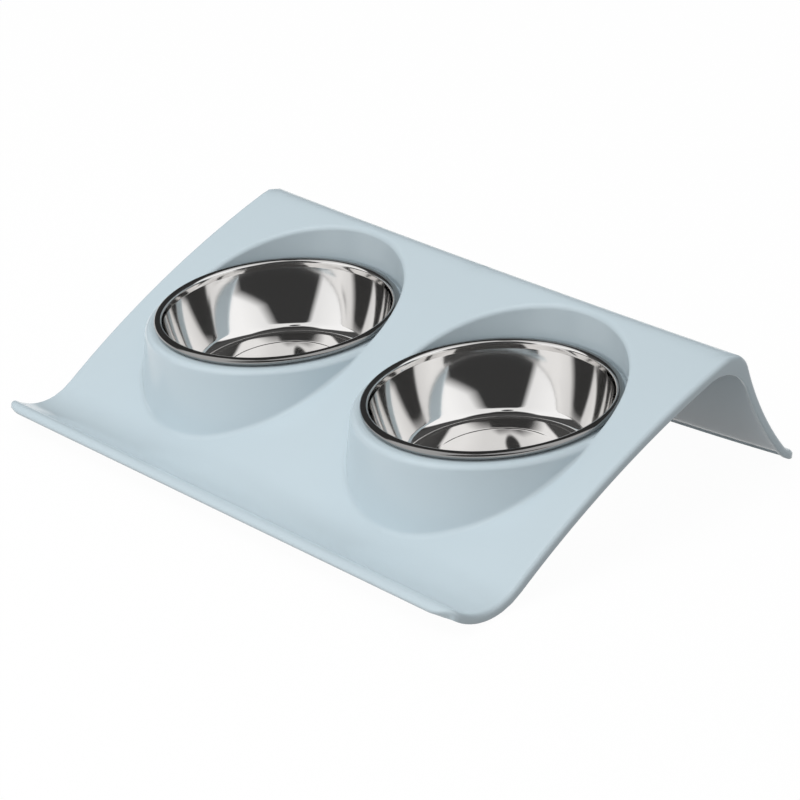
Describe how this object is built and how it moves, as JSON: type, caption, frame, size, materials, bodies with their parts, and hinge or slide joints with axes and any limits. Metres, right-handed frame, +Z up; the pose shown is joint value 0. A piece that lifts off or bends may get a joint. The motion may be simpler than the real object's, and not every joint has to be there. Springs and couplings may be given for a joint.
{
  "type": "double pet bowl",
  "caption": "Raised double pet bowl: a bent, moulded plastic stand with a ridge at the back and round seats that carry loose steel bowls with rolled rims.",
  "frame": {"origin": "middle of the footprint, on the floor under the anti-slip pads", "axes": "+Z up, +X to the right when seen from the low front edge, +Y from the low front edge to the leg at the back"},
  "size_m": [0.345, 0.23, 0.0712],
  "materials": {
    "plastic": "smooth semi-gloss, pale blue grey",
    "steel": "polished stainless steel",
    "pad": "matt"
  },
  "bodies": {
    "stand": {"stand": "plastic", "front_left_pad": "pad", "front_right_pad": "pad", "rear_left_pad": "pad", "rear_right_pad": "pad"},
    "left_bowl": {"left_bowl": "steel"},
    "right_bowl": {"right_bowl": "steel"}
  },
  "joints": [
    {"name": "left_bowl_lift", "type": "slide", "parent": "stand", "child": "left_bowl", "axis": [0, 0, 1], "range_m": [0, 0.1]},
    {"name": "right_bowl_lift", "type": "slide", "parent": "stand", "child": "right_bowl", "axis": [0, 0, 1], "range_m": [0, 0.1]}
  ]
}
